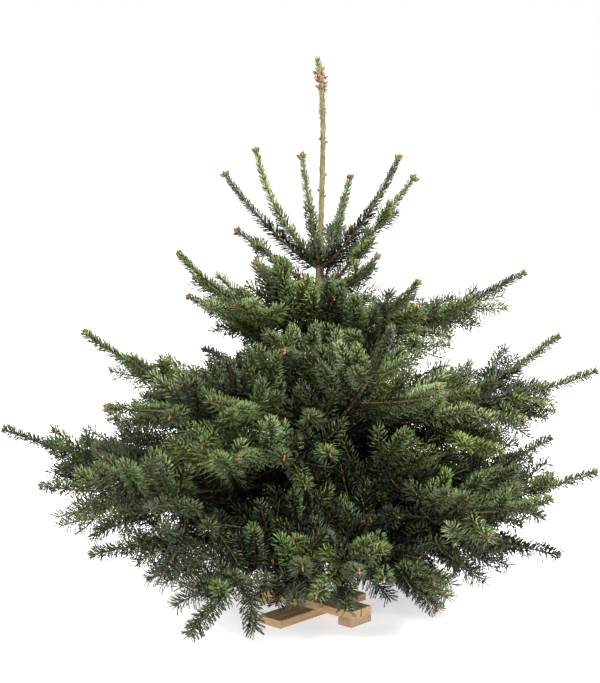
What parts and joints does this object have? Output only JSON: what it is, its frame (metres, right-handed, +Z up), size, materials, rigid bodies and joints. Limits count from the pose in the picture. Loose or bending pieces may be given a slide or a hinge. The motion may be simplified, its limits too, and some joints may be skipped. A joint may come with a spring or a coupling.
{
  "type": "cut fir christmas tree on a wooden cross stand",
  "caption": "Small, broad cut fir sold as a Christmas tree: bare leader, upright top shoots, dense skirt of boughs, on a nailed cross of two sawn boards.",
  "frame": {"origin": "on the floor, at the middle of the cross stand's underside, below the trunk", "axes": "+Z up along the trunk, +X to the tree's right as seen from the front, the viewer on the -Y side"},
  "size_m": [1.4044, 1.0697, 1.25],
  "materials": {
    "bark": "dull grey-brown bark, olive on young wood",
    "sawn_pine": "raw sawn pine, matt",
    "needles": "waxy dark green, paler and greyer below"
  },
  "bodies": {
    "root": {"trunk": "bark", "lower_board": "sawn_pine", "upper_board": "sawn_pine", "foot_block_front": "sawn_pine", "foot_block_back": "sawn_pine", "bough_lower_1": "bark", "bough_lower_2": "bark", "bough_lower_3": "bark", "bough_lower_4": "bark", "bough_lower_5": "bark", "bough_lower_6": "bark", "bough_lower_7": "bark", "bough_lower_8": "bark", "bough_middle_1": "bark", "bough_middle_2": "bark", "bough_middle_3": "bark", "bough_middle_4": "bark", "bough_middle_5": "bark", "bough_middle_6": "bark", "bough_middle_7": "bark", "bough_middle_8": "bark", "foliage_crown_1": "needles", "foliage_crown_2": "needles", "foliage_crown_3": "needles", "foliage_crown_4": "needles", "foliage_crown_5": "needles", "foliage_lower_1": "needles", "foliage_lower_2": "needles", "foliage_lower_3": "needles", "foliage_lower_4": "needles", "foliage_lower_5": "needles", "foliage_lower_6": "needles", "foliage_lower_7": "needles", "foliage_lower_8": "needles", "foliage_middle_1": "needles", "foliage_middle_2": "needles", "foliage_middle_3": "needles", "foliage_middle_4": "needles", "foliage_middle_5": "needles", "foliage_middle_6": "needles", "foliage_middle_7": "needles", "foliage_middle_8": "needles", "foliage_shoulder_1": "needles", "foliage_shoulder_2": "needles", "foliage_shoulder_3": "needles", "foliage_shoulder_4": "needles", "foliage_shoulder_5": "needles", "foliage_skirt_1": "needles", "foliage_skirt_2": "needles", "foliage_skirt_3": "needles", "foliage_skirt_4": "needles", "foliage_skirt_5": "needles", "foliage_skirt_6": "needles", "foliage_skirt_7": "needles", "foliage_upper_1": "needles", "foliage_upper_2": "needles", "foliage_upper_3": "needles", "foliage_upper_4": "needles", "foliage_upper_5": "needles", "foliage_upper_6": "needles"}
  },
  "joints": []
}
